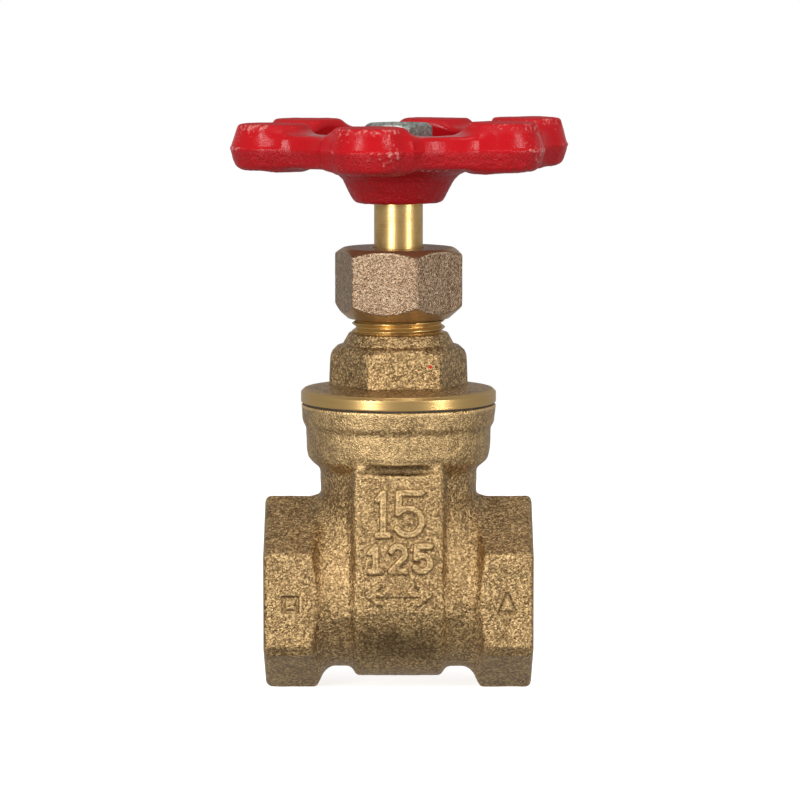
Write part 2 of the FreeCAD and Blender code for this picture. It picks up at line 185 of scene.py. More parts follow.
def noise(x, y, z, size, seed):
    """Smooth noise from -1 to 1 with bumps about size millimetres apart."""
    scaled = [x / size + seed * 17.3, y / size + seed * 5.1, z / size + seed * 11.7]
    cells = [np.floor(s).astype(np.int64) for s in scaled]
    within = [s - c for s, c in zip(scaled, cells)]
    smooth = [t * t * (3 - 2 * t) for t in within]
    total = 0.0
    for corner in range(8):
        steps = [(corner >> axis) & 1 for axis in range(3)]
        hashed = sum((c + s) * prime for c, s, prime in zip(cells, steps, HASH_PRIMES))
        hashed = (hashed ^ (hashed >> 13)) * 1274126177
        hashed = ((hashed ^ (hashed >> 16)) & 0xFFFF) / 32767.5 - 1
        weight = 1.0
        for t, s in zip(smooth, steps):
            weight = weight * (t if s else 1 - t)
        total = total + hashed * weight
    return total


# Marks, drawn as strokes in the plane of a face


def stroke(u, v, points):
    """Distance to a line through the points."""
    nearest = None
    for (au, av), (bu, bv) in zip(points[:-1], points[1:]):
        du, dv = bu - au, bv - av
        t = np.clip(((u - au) * du + (v - av) * dv) / (du * du + dv * dv), 0, 1)
        distance = np.hypot(u - au - t * du, v - av - t * dv)
        nearest = distance if nearest is None else np.minimum(nearest, distance)
    return nearest


def arc(centre, radii, start, end, steps=10):
    """Points along part of an ellipse, with its angles in degrees from +u towards +v."""
    angles = [math.radians(start + (end - start) * k / steps) for k in range(steps + 1)]
    return [(centre[0] + radii[0] * math.cos(a), centre[1] + radii[1] * math.sin(a)) for a in angles]


def digit_one(u, v, left, foot, height):
    stem = stroke(u, v, [(left + 0.9, foot), (left + 0.9, foot + height), (left, foot + height - 1.1)])
    return np.minimum(stem, stroke(u, v, [(left, foot), (left + 1.8, foot)]))


def digit_five(u, v, left, foot, height):
    wide = height * 0.55
    bowl = arc((left + wide * 0.42, foot + height * 0.32), (wide * 0.58, height * 0.32), 125, -150)
    top = [(left + wide, foot + height), (left + 0.1, foot + height), (left, foot + height * 0.52)]
    return stroke(u, v, top + bowl)


def digit_two(u, v, left, foot, height):
    wide = height * 0.55
    hook = arc((left + wide / 2, foot + height * 0.7), (wide / 2, height * 0.3), 160, -35)
    return stroke(u, v, hook + [(left, foot), (left + wide, foot)])


def double_arrow(u, v, centre, half, barb):
    """Flow may go either way."""
    distance = stroke(u, v, [(-half, centre), (half, centre)])
    for side in (-1, 1):
        back = side * (half - 0.4 - barb)
        head = [(back, centre + barb), (side * half, centre), (back, centre - barb)]
        distance = np.minimum(distance, stroke(u, v, head))
    return distance


def pad_marks(x, z):
    """Nominal size and pressure class as plain numbers, and the flow arrow."""
    marks = np.minimum(digit_one(x, z, -3.4, 11.1, 6.9), digit_five(x, z, 0.0, 11.1, 6.9))
    marks = np.minimum(marks, digit_one(x, z, -4.6, 5.2, 4.1))
    marks = np.minimum(marks, digit_two(x, z, -1.2, 5.2, 4.1))
    marks = np.minimum(marks, digit_five(x, z, 2.9, 5.2, 4.1))
    return np.minimum(marks, double_arrow(x, z, 1.4, 5.0, 1.5))


def end_marks(x, z):
    """An inspector's punch marks: a square at one end, a triangle at the other."""
    square = stroke(x, z, [(-18.7, -1.5), (-16.5, -1.5), (-16.5, 0.7), (-18.7, 0.7), (-18.7, -1.5)])
    triangle = stroke(x, z, [(16.5, -1.6), (18.9, -1.6), (17.7, 1.2), (16.5, -1.6)])
    return np.minimum(square, triangle)


# The pieces' shapes


def body_outside(x, y, z):
    """Barrel, hexagon ends, neck, drum with a pad at front and back, collar, and marks."""
    along = np.abs(x)
    from_pipe, from_stem = np.hypot(y, z), np.hypot(x, y)
    barrel = np.maximum(from_pipe - BARREL_R, along - HALF_LENGTH + 4)
    flats = hexagon(z + END_DROP, y, END_FLATS, 0.0, END_ROUND)
    shoulder = END_SHOULDER - 0.8 * between(np.abs(z), 9.5, 14.0)
    flare = (from_pipe - END_CORNER_R - (along - shoulder) * END_FLARE) * 0.4
    groove = np.hypot(np.abs(y) - EDGE_GROOVE_OUT, z + EDGE_GROOVE_DROP) - EDGE_GROOVE_R
    ends = meet(meet(flats, flare, 0.45), along - HALF_LENGTH, 1.1)
    ends = cut(ends, np.maximum(groove, 13.2 - along), 0.35)
    neck = np.maximum(from_stem - NECK_R, slab(z, 0, BODY_TOP - 1))
    trunk = join(barrel, neck, 4.5)
    shell = join(trunk, ends, 1.7)
    drum = meet(from_pipe - DRUM_R, along - DRUM_HALF, 1.0)
    pad = meet(np.abs(y) - DRUM_R, along - DRUM_HALF, 1.0)
    pad = meet(pad, slab(z, 0, PAD_TOP), 0.8)
    shell = join(shell, np.minimum(drum, pad), 1.3)
    shell = join(shell, turned(from_stem, z, COLLAR_OUTLINE, 0.15, 0.35), 0.7)
    hollow_r = 0.9 * (1 - (x / 7.7) ** 4)
    shell = cut(shell, np.hypot(np.abs(y) - 14.3, z - CREASE_HEIGHT) - hollow_r, 0.25)
    raised = meet(pad_marks(x, z) - 0.54, slab(y, -DRUM_R - 0.5, -DRUM_R + 1), 0.28)
    shell = join(shell, raised, 0.3)
    punched = np.hypot(end_marks(x, z), y + END_FLATS / 2 + 0.1) - 0.42
    return cut(shell, punched, 0.15)


def pipe_socket(x, y, z):
    """The threaded hole at each end: a right-hand taper thread that runs out before the shoulder."""
    depth = HALF_LENGTH - np.abs(x)
    angle = np.arctan2(z, y * np.sign(x)) / (2 * math.pi)
    fade = np.clip((SOCKET_DEPTH - 0.7 - depth) / 2.0, 0, 1)
    crest = CREST_R + (SOCKET_DEPTH - depth) * PIPE_TAPER
    threads = crest + PIPE_THREAD * fade * wave(depth / PIPE_PITCH + angle)
    mouth = CREST_R + 1.7 - depth
    hole = (np.hypot(y, z) - np.maximum(threads, mouth)) * 0.6
    return meet(hole, depth - SOCKET_DEPTH, 0.35)


def body_hollow(x, y, z):
    """Chamber with its seats and guide ribs, bonnet bore, port and sockets."""
    along, from_pipe, from_stem = np.abs(x), np.hypot(y, z), np.hypot(x, y)
    chamber = np.maximum(from_pipe - CHAMBER_R, along - CHAMBER_HALF)
    upper = np.maximum(np.maximum(along - CHAMBER_HALF, np.abs(y) - CHAMBER_R), slab(z, 0, 10.5))
    chamber = np.minimum(chamber, upper)
    seat = np.maximum(from_pipe - SEAT_R, SEAT_GAP + z * SEAT_SLOPE - along)
    hollow = cut(chamber, seat, 0.25)
    hollow = join(hollow, np.maximum(from_stem - NECK_BORE_R, slab(z, NECK_BORE_FOOT, BODY_TOP + 2)), 0.4)
    rib = np.maximum(np.abs(x) - GUIDE_HALF, np.maximum(GUIDE_IN - np.abs(y), slab(z, -5.0, 23.0)))
    hollow = cut(hollow, rib, 0.2)
    plug = np.maximum(from_stem - PLUG_BORE_R, slab(z, PLUG_BORE_FOOT, BODY_TOP + 2))
    return np.minimum(np.minimum(hollow, plug), np.minimum(from_pipe - PORT_R, pipe_socket(x, y, z)))


def body_shape(x, y, z):
    return cut(body_outside(x, y, z), body_hollow(x, y, z), 0.25)


def neck_thread(x, y, z, radius, depth):
    """Radius of the right-hand thread on the bonnet's neck at each point."""
    angle = np.arctan2(y, x) / (2 * math.pi)
    return radius - depth * wave((z - NECK_THREAD_FOOT) / NECK_PITCH - angle)


def bonnet_shape(x, y, z):
    from_stem = np.hypot(x, y)
    top = BONNET_HIGH[2]
    flange = turned(from_stem, z, FLANGE_OUTLINE, 0.15)
    flats = hexagon(x, y, BONNET_FLATS, BONNET_TURN, 0.45)
    hexagonal = meet(flats, turned(from_stem, z, CROWN_OUTLINE, 0.3), 0.6)
    solid = join(flange, hexagonal, 0.9)
    boss = turned(from_stem, z, [(34, 9.2), (41.0, 8.9), (42.2, 8.2), (42.9, 8.1)], 0.3)
    solid = join(solid, boss, 0.6)
    thread = neck_thread(x, y, z, NECK_THREAD_R, NECK_THREAD_DEPTH)
    thread = np.where(z > 42.6, thread, NECK_THREAD_R)
    neck = np.maximum((from_stem - thread) * 0.65, slab(z, 41, top))
    solid = join(solid, neck, 0.15)
    plug = np.maximum(from_stem - PLUG_BORE_R + 0.05, slab(z, BONNET_LOW[2], FLANGE_BOTTOM + 1))
    solid = np.minimum(solid, plug)
    for radius, low, high in BONNET_BORES:
        solid = cut(solid, np.maximum(from_stem - radius, slab(z, low, high)), 0.12)
    return solid


def packing_nut_shape(x, y, z):
    from_stem = np.hypot(x, y)
    low, high = NUT_LOW[2], NUT_HIGH[2]
    flats = hexagon(x, y, NUT_FLATS, NUT_TURN, 0.28)
    outline = [(low, 8.3), (low + 2.2, 10.8), (low + 3.2, 11.6), (high - 1.45, 11.4), (high, 9.1)]
    solid = meet(flats, turned(from_stem, z, outline, 0.1), 0.22)
    thread = neck_thread(x, y, z, NECK_THREAD_R + 0.12, NECK_THREAD_DEPTH)
    bore = np.maximum((from_stem - thread) * 0.65, slab(z, low - 1, 51.0))
    mouth = np.maximum((from_stem - 8.0 + (z - low)) * 0.7, slab(z, low - 1, low + 1.0))
    relief = np.maximum(from_stem - NECK_THREAD_R - 0.35, slab(z, 50.8, 53.6))
    hole = np.maximum(from_stem - STEM_R - 0.25, slab(z, 50, high + 1))
    for hollow in (bore, mouth, relief, hole):
        solid = cut(solid, hollow, 0.1)
    return solid


def seen_from(x, y, angle):
    """Distances across and outwards, for something that stands at this angle round the wheel."""
    return x * math.cos(angle) + y * math.sin(angle), x * math.sin(angle) - y * math.cos(angle)


def handwheel_shape(x, y, z):
    from_stem = np.hypot(x, y)
    low, high = WHEEL_LOW[2], WHEEL_HIGH[2]
    draft = np.abs(z - PARTING) * 0.2
    web = from_stem - 24.0 + draft
    for angle, following in zip(LOBE_ANGLES, LOBE_ANGLES[1:] + [LOBE_ANGLES[0] + 2 * math.pi]):
        half_gap = (following - angle) / 2
        aside = LOBE_CENTRE_R * math.sin(half_gap)
        beyond = math.sqrt((LOBE_R + VALLEY_CUT_R) ** 2 - aside**2)
        valley_r = LOBE_CENTRE_R * math.cos(half_gap) + beyond
        across, out = seen_from(x, y, angle + half_gap)
        web = np.maximum(web, VALLEY_CUT_R - np.hypot(across, out - valley_r) + draft)
    rim = meet(web, slab(z, RIM_BOTTOM, RIM_TOP), 0.8)
    for angle, top in zip(LOBE_ANGLES, LOBE_TOPS):
        across, out = seen_from(x, y, angle)
        outline = [
            (LOBE_BOTTOM, 5.3),
            (70.7, 6.0),
            (71.6, 6.35),
            (PARTING - 0.4, LOBE_R - 0.15),
            (PARTING, LOBE_R + 0.05),
            (PARTING + 0.4, LOBE_R - 0.2),
            (top, 5.6),
        ]
        rim = join(rim, turned(np.hypot(across, out - LOBE_CENTRE_R), z, outline, 0.5, 0.12), 1.9)
    rim = cut(rim, from_stem - 16.3 + draft * 0.5, 0.8)
    hub = turned(
        from_stem,
        z,
        [(low, 7.1), (low + 0.7, 7.6), (67.9, 9.1), (68.9, 10.1), (69.5, 11.5), (70.0, 12.4), (71.2, 11.8)],
        0.4,
        0.2,
    )
    solid = rim
    for angle in LOBE_ANGLES[::2]:  # three spokes
        across, out = seen_from(x, y, angle)
        spoke = meet(np.abs(across) - 3.6, slab(z, 69.8, 72.4), 0.7)
        solid = join(solid, np.maximum(spoke, slab(out, 8, 18)), 1.4)
    solid = join(solid, hub, 1.2)
    seat = np.maximum(from_stem - 6.6, slab(z, WHEEL_NUT_LOW[2] - 1.6, high + 1))
    solid = cut(solid, seat, 0.4)
    square = np.maximum(np.maximum(np.abs(x), np.abs(y)) - 3.15, from_stem - STEM_R - 0.05)
    return cut(solid, square, 0.15)


def wheel_nut_shape(x, y, z):
    low, high = WHEEL_NUT_LOW[2], WHEEL_NUT_HIGH[2]
    from_stem = np.hypot(x, y)
    lathe = turned(from_stem, z, [(low, 5.4), (low + 0.5, 6.0), (high - 0.75, 6.0), (high, 4.75)], 0.1)
    solid = meet(hexagon(x, y, WHEEL_NUT_FLATS, WHEEL_NUT_TURN, 0.25), lathe, 0.2)
    bore = from_stem - np.maximum(3.0, 3.0 + np.maximum(low + 0.4 - z, z - high + 0.4))
    return cut(solid, bore * 0.8, 0.1)


# Turning a shape into a mesh


def grid_line(low, high, step, fine=()):
    """Places along one axis, closer together inside each fine (low, high, step) stretch."""
    places = [low]
    while places[-1] < high:
        here = places[-1]
        inside = [size for start, end, size in fine if start <= here < end]
        places.append(here + (inside[0] if inside else step))
    return np.array(places)


BLOCK = 8


def sample(shape, lines):
    """The shape's distance on the grid, worked out in full only in blocks that the surface may cross."""
    counts = [len(line) for line in lines]
    centres, reaches = [], []
    for line in lines:
        starts = line[::BLOCK]
        ends = line[np.minimum(np.arange(0, len(line), BLOCK) + BLOCK, len(line) - 1)]
        centres.append((starts + ends) / 2)
        reaches.append((ends - starts) / 2)
    middle = np.meshgrid(*centres, indexing="ij")
    reach = np.sqrt(sum(r**2 for r in np.meshgrid(*reaches, indexing="ij")))
    rough = shape(*[m.ravel() for m in middle]).reshape(reach.shape)
    value = rough
    for axis, count in enumerate(counts):
        value = np.repeat(value, BLOCK, axis=axis).take(range(count), axis=axis)
    near = np.argwhere(np.abs(rough) < reach * 1.3 + 0.4)
    steps = np.stack(np.meshgrid(*[np.arange(BLOCK)] * 3, indexing="ij"), -1).reshape(-1, 3)
    index = (near[:, None, :] * BLOCK + steps[None]).reshape(-1, 3)
    index = index[(index < counts).all(1)]
    spots = [line[index[:, axis]] for axis, line in enumerate(lines)]
    value[tuple(index.T)] = shape(*spots)
    return value


def corners_of(cells):
    return [cells + np.array([(c >> axis) & 1 for axis in range(3)]) for c in range(8)]


def surface_net(value, lines):
    """One point in each grid cell that the surface crosses, and four-sided faces between them."""
    inside = value < 0
    any_in = np.zeros(tuple(n - 1 for n in value.shape), bool)
    all_in = np.ones_like(any_in)
    for c in range(8):
        low = [(c >> axis) & 1 for axis in range(3)]
        part = inside[tuple(slice(start, start + n - 1) for start, n in zip(low, value.shape))]
        any_in |= part
        all_in &= part
    mixed = any_in & ~all_in
    cells = np.argwhere(mixed)
    number = np.full(mixed.shape, -1, np.int64)
    number[mixed] = np.arange(len(cells))
    corner = corners_of(cells)
    place = [np.stack([lines[a][c[:, a]] for a in range(3)], 1) for c in corner]
    depth = [value[tuple(c.T)] for c in corner]
    total, crossed = np.zeros((len(cells), 3)), np.zeros(len(cells))
    for first in range(8):
        for axis in range(3):
            if first >> axis & 1:
                continue
            second = first | 1 << axis
            cross = (depth[first] < 0) != (depth[second] < 0)
            t = np.where(cross, depth[first] / np.where(cross, depth[first] - depth[second], 1), 0)
            total += np.where(cross[:, None], place[first] + t[:, None] * (place[second] - place[first]), 0)
            crossed += cross
    points = total / crossed[:, None]
    faces = []
    for axis in range(3):
        one, two = (axis + 1) % 3, (axis + 2) % 3
        counts = value.shape
        start = inside[tuple(slice(0, n - 1) if a == axis else slice(1, n) for a, n in enumerate(counts))]
        end = inside[tuple(slice(1, n) for n in counts)]
        crossing = start != end
        edges = np.argwhere(crossing)
        outward = start[crossing]
        offset = np.zeros(3, int)
        offset[one] = offset[two] = 1
        base = edges + offset
        around = []
        for back_one, back_two in ((1, 1), (0, 1), (0, 0), (1, 0)):
            cell = base.copy()
            cell[:, one] -= back_one
            cell[:, two] -= back_two
            around.append(cell)
        keep = np.all([((c >= 0) & (c < mixed.shape)).all(1) for c in around], axis=0)
        ring = np.stack([number[tuple(c[keep].T)] for c in around], 1)
        faces.append(np.where(outward[keep][:, None], ring, ring[:, ::-1]))
    return points, np.concatenate(faces)


def slope(shape, points, step=0.03):
    result = np.empty_like(points)
    for axis in range(3):
        ahead, behind = points.copy(), points.copy()
        ahead[:, axis] += step
        behind[:, axis] -= step
        result[:, axis] = shape(*ahead.T) - shape(*behind.T)
    return result / (2 * step)


def settle(shape, points, reach, rounds=3):
    """Moves the points onto the surface, none by more than reach a round."""
    for _ in range(rounds):
        rise = slope(shape, points)
        size = np.maximum((rise**2).sum(1), 0.05)
        move = -(shape(*points.T) / size)[:, None] * rise
        length = np.maximum(np.linalg.norm(move, axis=1), 1e-9)
        points = points + move * np.minimum(1, reach / length)[:, None]
    return points


def solid_piece(name, shape, low, high, step, relief=None, fine=((), (), ()), layers=None):
    """A mesh object of a shape between two corners. relief raises or sinks its skin. layers are values that
    its material reads at each point, beside one for outer edges, paler as rubbed wear and a painted
    highlight, and one for inner corners, darker as painted shade."""
    margin = 1.2
    lines = [grid_line(low[a] - margin, high[a] + margin, step, fine[a]) for a in range(3)]
    points, faces = surface_net(sample(shape, lines), lines)

    def skin(x, y, z):
        return shape(x, y, z) - relief(x, y, z)

    final = skin if relief else shape
    points = settle(final, points, step * 0.6)
    normals = slope(final, points)
    normals /= np.maximum(np.linalg.norm(normals, axis=1), 1e-6)[:, None]
    probe = 0.7
    # Outer edges: paler, as rubbed wear and a painted highlight. Inner corners: darker, as painted shade.
    values = {
        "edge_wear_and_highlight": 1 + shape(*(points - normals * probe).T) / probe,
        "corner_shade": 1 - shape(*(points + normals * probe).T) / probe,
    }
    for key, layer in (layers or {}).items():
        values[key] = layer(*points.T)
    return mesh_object(name, points * MM, faces, normals, values)


def mesh_object(name, points, faces, normals, values):
    mesh = bpy.data.meshes.new(name)
    mesh.vertices.add(len(points))
    mesh.vertices.foreach_set("co", points.astype(np.float32).ravel())
    mesh.loops.add(faces.size)
    mesh.loops.foreach_set("vertex_index", faces.astype(np.int32).ravel())
    mesh.polygons.add(len(faces))
    mesh.polygons.foreach_set("loop_start", np.arange(0, faces.size, 4, dtype=np.int32))
    mesh.update(calc_edges=True)
    mesh.validate()
    mesh.shade_smooth()
    mesh.normals_split_custom_set_from_vertices(normals)
    for key, value in values.items():
        layer = mesh.attributes.new(key, "FLOAT", "POINT")
        layer.data.foreach_set("value", np.clip(value, 0, 1).astype(np.float32))
    piece = bpy.data.objects.new(name, mesh)
    bpy.context.scene.collection.objects.link(piece)
    return piece


def between(value, low, high):
    """0 below low, 1 above high, and a smooth step from one to the other."""
    t = np.clip((value - low) / (high - low), 0, 1)
    return t * t * (3 - 2 * t)


def sand_skin(x, y, z):
    """The lumpy skin of a sand casting."""
    return noise(x, y, z, 3.1, 1) * 0.05 + noise(x, y, z, 1.4, 2) * 0.035 + noise(x, y, z, 0.75, 3) * 0.03


def body_cast(x, y, z):
    """1 on the cast skin, 0 where the body has been machined."""
    threads = between(np.hypot(y, z), 11.6, 12.0)
    inner = between(np.hypot(x, y), 12.9, 13.3)
    ends = 1 - between(np.abs(x), HALF_LENGTH - 0.25, HALF_LENGTH - 0.1)
    top = 1 - between(z, BODY_TOP - 0.25, BODY_TOP - 0.1)
    socket = np.where(np.abs(x) > 10.5, threads, 1)
    bore = np.where(z > 22.0, inner, 1)
    return ends * top * socket * bore


def bonnet_cast(x, y, z):
    from_stem = np.hypot(x, y)
    above = between(z, 33.45, 33.75)
    neck = 1 - between(z, 42.75, 42.95)
    bore = between(from_stem, 6.4, 6.8)
    return above * neck * bore


def build_body():
    def relief(x, y, z):
        """None inside, where the wedge runs."""
        outside = between(np.hypot(y, z), 11.0, 11.4)
        outside = outside * np.where(z > 0, between(np.hypot(x, y), 11.0, 11.4), 1)
        return sand_skin(x, y, z) * body_cast(x, y, z) * outside

    fine = (((-23, -11, 0.27), (-6, 6, 0.26), (11, 23, 0.27)), ((-14.8, -13.2, 0.2),), ((-2.6, 18.6, 0.3),))
    def collar_shadow_and_drum_dark(x, y, z):
        """1 in the crease under the collar, where it paints a shadow, and on the drum's lower front, which
        it paints darker.
        """
        crease = 1 - between(np.hypot(x / 6.9, (z - 21.5) / 0.75), 0.75, 1.15)
        patch = (1 - between(np.abs(x), 5.0, 7.6)) * (1 - between(np.abs(z + 6.8), 1.0, 4.4))
        return np.maximum(crease, patch * 0.8 * (y < 0))

    layers = {"cast": body_cast, "collar_shadow_and_drum_dark": collar_shadow_and_drum_dark}
    return solid_piece("cast_body", body_shape, BODY_LOW, BODY_HIGH, 0.4, relief, fine, layers)


def build_bonnet():
    def relief(x, y, z):
        return sand_skin(x, y, z) * 0.8 * bonnet_cast(x, y, z)

    fine = ((), (), ((31.1, 32.0, 0.12), (32.5, 34.5, 0.2), (42.5, 47, 0.18)))
    return solid_piece(
        "cast_bonnet", bonnet_shape, BONNET_LOW, BONNET_HIGH, 0.27, relief, fine, {"cast": bonnet_cast}
    )


def build_packing_nut():
    def blasted(x, y, z):
        """1 on the blasted flats, 0 on the turned cones and inside."""
        from_stem = np.hypot(x, y)
        top = 9.1 + (NUT_HIGH[2] - z) * 1.6
        foot = 8.3 + (z - NUT_LOW[2]) * 1.15
        return (1 - between(from_stem, foot - 0.25, foot - 0.05)) * (1 - between(from_stem, top - 0.2, top))

    def relief(x, y, z):
        return noise(x, y, z, 1.7, 4) * 0.02 + noise(x, y, z, 0.6, 5) * 0.012

    return solid_piece(
        "packing_nut_skin", packing_nut_shape, NUT_LOW, NUT_HIGH, 0.22, relief, layers={"cast": blasted}
    )


def build_handwheel():
    def relief(x, y, z):
        rough = noise(x, y, z, 0.8, 6) * 0.05 + noise(x, y, z, 0.5, 7) * 0.025
        smooth = noise(x, y, z, 3.4, 8) * 0.09 + noise(x, y, z, 1.5, 9) * 0.03
        return smooth + rough * (0.25 + under(x, y, z))

    def under(x, y, z):
        """1 below the parting line, where the casting is rougher."""
        return 1 - between(z, PARTING - 0.8, PARTING + 0.3)

    def gripped(x, y, z):
        """1 at the tops of the lobes, which hands rub: rougher there, and paler in a colour that is partly
        a painted highlight.
        """
        return between(z, 76.0, 77.0)

    layers = {"cast": under, "gripped": gripped}
    return solid_piece(
        "enamelled_wheel", handwheel_shape, WHEEL_LOW, WHEEL_HIGH, 0.32, relief, layers=layers
    )


def build_wheel_nut():
    def relief(x, y, z):
        return noise(x, y, z, 0.9, 10) * 0.012

    return solid_piece(
        "zinc_wheel_nut", wheel_nut_shape, WHEEL_NUT_LOW, WHEEL_NUT_HIGH, 0.16, relief
    )


# Materials


class Shader:
    """Builds one node material. Its methods return sockets, to be used as the next node's inputs."""

    def __init__(self, name):
        self.material = bpy.data.materials.new(name)
        self.material.use_nodes = True
        self.tree = self.material.node_tree
        self.surface = self.tree.nodes["Principled BSDF"]
        self.place = self.scaled(self.add("ShaderNodeTexCoord").outputs["Object"], (1 / MM,) * 3)

    def add(self, kind, inputs=None, **settings):
        node = self.tree.nodes.new(kind)
        for key, value in settings.items():
            setattr(node, key, value)
        for key, value in (inputs or {}).items():
            self.put(node.inputs[key], value)
        return node

    def put(self, socket, value):
        if isinstance(value, bpy.types.NodeSocket):
            self.tree.links.new(value, socket)
        else:
            socket.default_value = value

    def scaled(self, place, factors):
        return self.add("ShaderNodeVectorMath", {0: place, 1: factors}, operation="MULTIPLY").outputs[0]

    def math(self, operation, a, b=0.0, clamp=False):
        return self.add("ShaderNodeMath", {0: a, 1: b}, operation=operation, use_clamp=clamp).outputs[0]

    def noise(self, per_mm, detail=2.0, rough=0.5, place=None):
        inputs = {"Vector": place or self.place, "Scale": per_mm, "Detail": detail, "Roughness": rough}
        return self.add("ShaderNodeTexNoise", inputs).outputs[0]

    def speckle(self, per_mm):
        """Small patches, each with its own random value."""
        cells = self.add("ShaderNodeTexVoronoi", {"Vector": self.place, "Scale": per_mm})
        return self.add("ShaderNodeSeparateColor", {0: cells.outputs["Color"]}).outputs[0]

    def layer(self, name):
        return self.add("ShaderNodeAttribute", attribute_name=name).outputs["Fac"]

    def ramp(self, value, *stops):
        """stops are (position, colour); a colour may be one number for a grey."""
        node = self.add("ShaderNodeValToRGB", {0: value})
        elements = node.color_ramp.elements
        while len(elements) < len(stops):
            elements.new(0.5)
        for element, (position, colour) in zip(elements, stops):
            element.position = position
            element.color = (*colour, 1) if isinstance(colour, tuple) else (colour, colour, colour, 1)
        return node.outputs[0]

    def mix(self, share, a, b):
        node = self.add("ShaderNodeMix", data_type="RGBA", blend_type="MIX")
        for socket, value in zip((node.inputs[0], node.inputs[6], node.inputs[7]), (share, a, b)):
            self.put(socket, (*value, 1) if isinstance(value, tuple) else value)
        return node.outputs[2]

    def blend(self, share, a, b):
        """a where share is 0, b where it is 1, for plain numbers."""
        return self.add("ShaderNodeMix", {0: share, 2: a, 3: b}).outputs[0]

    def bump(self, height, distance_mm, strength=1.0):
        inputs = {"Height": height, "Distance": distance_mm * MM, "Strength": strength}
        return self.add("ShaderNodeBump", inputs).outputs[0]

    def spots(self, centres, radius):
        """1 inside small round spots."""
        found = None
        for centre in centres:
            gap = self.add("ShaderNodeVectorMath", {0: self.place, 1: centre}, operation="DISTANCE")
            spot = self.math("LESS_THAN", gap.outputs["Value"], radius)
            found = spot if found is None else self.math("MAXIMUM", found, spot)
        return found

    def finish(self, **inputs):
        for key, value in inputs.items():
            self.put(self.surface.inputs[key.replace("_", " ").title().replace("Ior", "IOR")], value)
        return self.material


def cast_brass(name, skin_colours, turned_colour, specks=()):
    """Sand-cast or blasted brass, bright where a tool has cut it, with specks of the wheel's paint, painted
    shade in inner corners and creases, and edges paler as wear and a painted highlight.
    """
    dark, middle, light = skin_colours
    s = Shader(name)
    cast = s.layer("cast")
    grain = s.noise(2.6, 3.0, 0.6)
    sparkle = s.speckle(3.6)
    pimples = s.noise(4.4, 1.0)
    patches = s.noise(0.22, 2.0)
    tone = s.math("ADD", s.math("MULTIPLY", grain, 0.6), s.math("MULTIPLY", sparkle, 0.4))
    skin = s.ramp(tone, (0.16, dark), (0.5, middle), (0.76, light))
    skin = s.mix(s.math("MULTIPLY", patches, 0.6), skin, s.mix(0.5, skin, dark))
    # Painted shade in inner corners and a painted shadow in the crease under the collar; the drum's lower
    # front is also made darker.
    collar_shadow_and_patch = s.math("MULTIPLY", s.layer("collar_shadow_and_drum_dark"), s.blend(patches, 0.1, 1.4))
    shade_and_patch = s.math("ADD", s.layer("corner_shade"), collar_shadow_and_patch)
    skin = s.mix(s.math("MULTIPLY", shade_and_patch, 1.1, clamp=True), skin, s.mix(0.8, skin, dark))
    # Outer edges paler: partly rubbed wear, partly a painted highlight.
    skin = s.mix(s.math("MULTIPLY", s.layer("edge_wear_and_highlight"), 1.3, clamp=True), skin, light)
    rings = s.noise(1.0, 2.0, place=s.scaled(s.place, (0.15, 0.15, 9.0)))
    bright = s.mix(rings, turned_colour, s.mix(0.35, turned_colour, dark))
    colour = s.mix(cast, bright, skin)
    if specks:
        colour = s.mix(s.spots(specks, 0.28), colour, (0.55, 0.03, 0.02))
    rough = s.blend(cast, 0.3, s.blend(sparkle, 0.3, 0.52))
    height = s.math("ADD", s.math("MULTIPLY", grain, 0.8), s.math("MULTIPLY", pimples, 0.8))
    height = s.math("MULTIPLY", height, cast)
    tool_marks = s.math("MULTIPLY", s.math("SUBTRACT", 1.0, cast), 0.08)
    height = s.math("ADD", height, s.math("MULTIPLY", rings, tool_marks))
    return s.finish(base_color=colour, metallic=0.88, roughness=rough, normal=s.bump(height, 0.155, 1.0))


def turned_brass(name, colour):
    """Bright brass off the lathe, with fine lines round it."""
    s = Shader(name)
    rings = s.noise(1.0, 3.0, 0.6, place=s.scaled(s.place, (0.12, 0.12, 11.0)))
    stains = s.noise(0.5, 3.0)
    tone = s.mix(s.ramp(stains, (0.45, 0.0), (0.7, 0.55)), colour, (0.36, 0.22, 0.07))
    tone = s.mix(s.ramp(rings, (0.4, 0.0), (0.75, 0.22)), tone, (0.92, 0.74, 0.38))
    rough = s.blend(stains, 0.25, 0.4)
    return s.finish(base_color=tone, metallic=1.0, roughness=rough, normal=s.bump(rings, 0.012, 0.6))


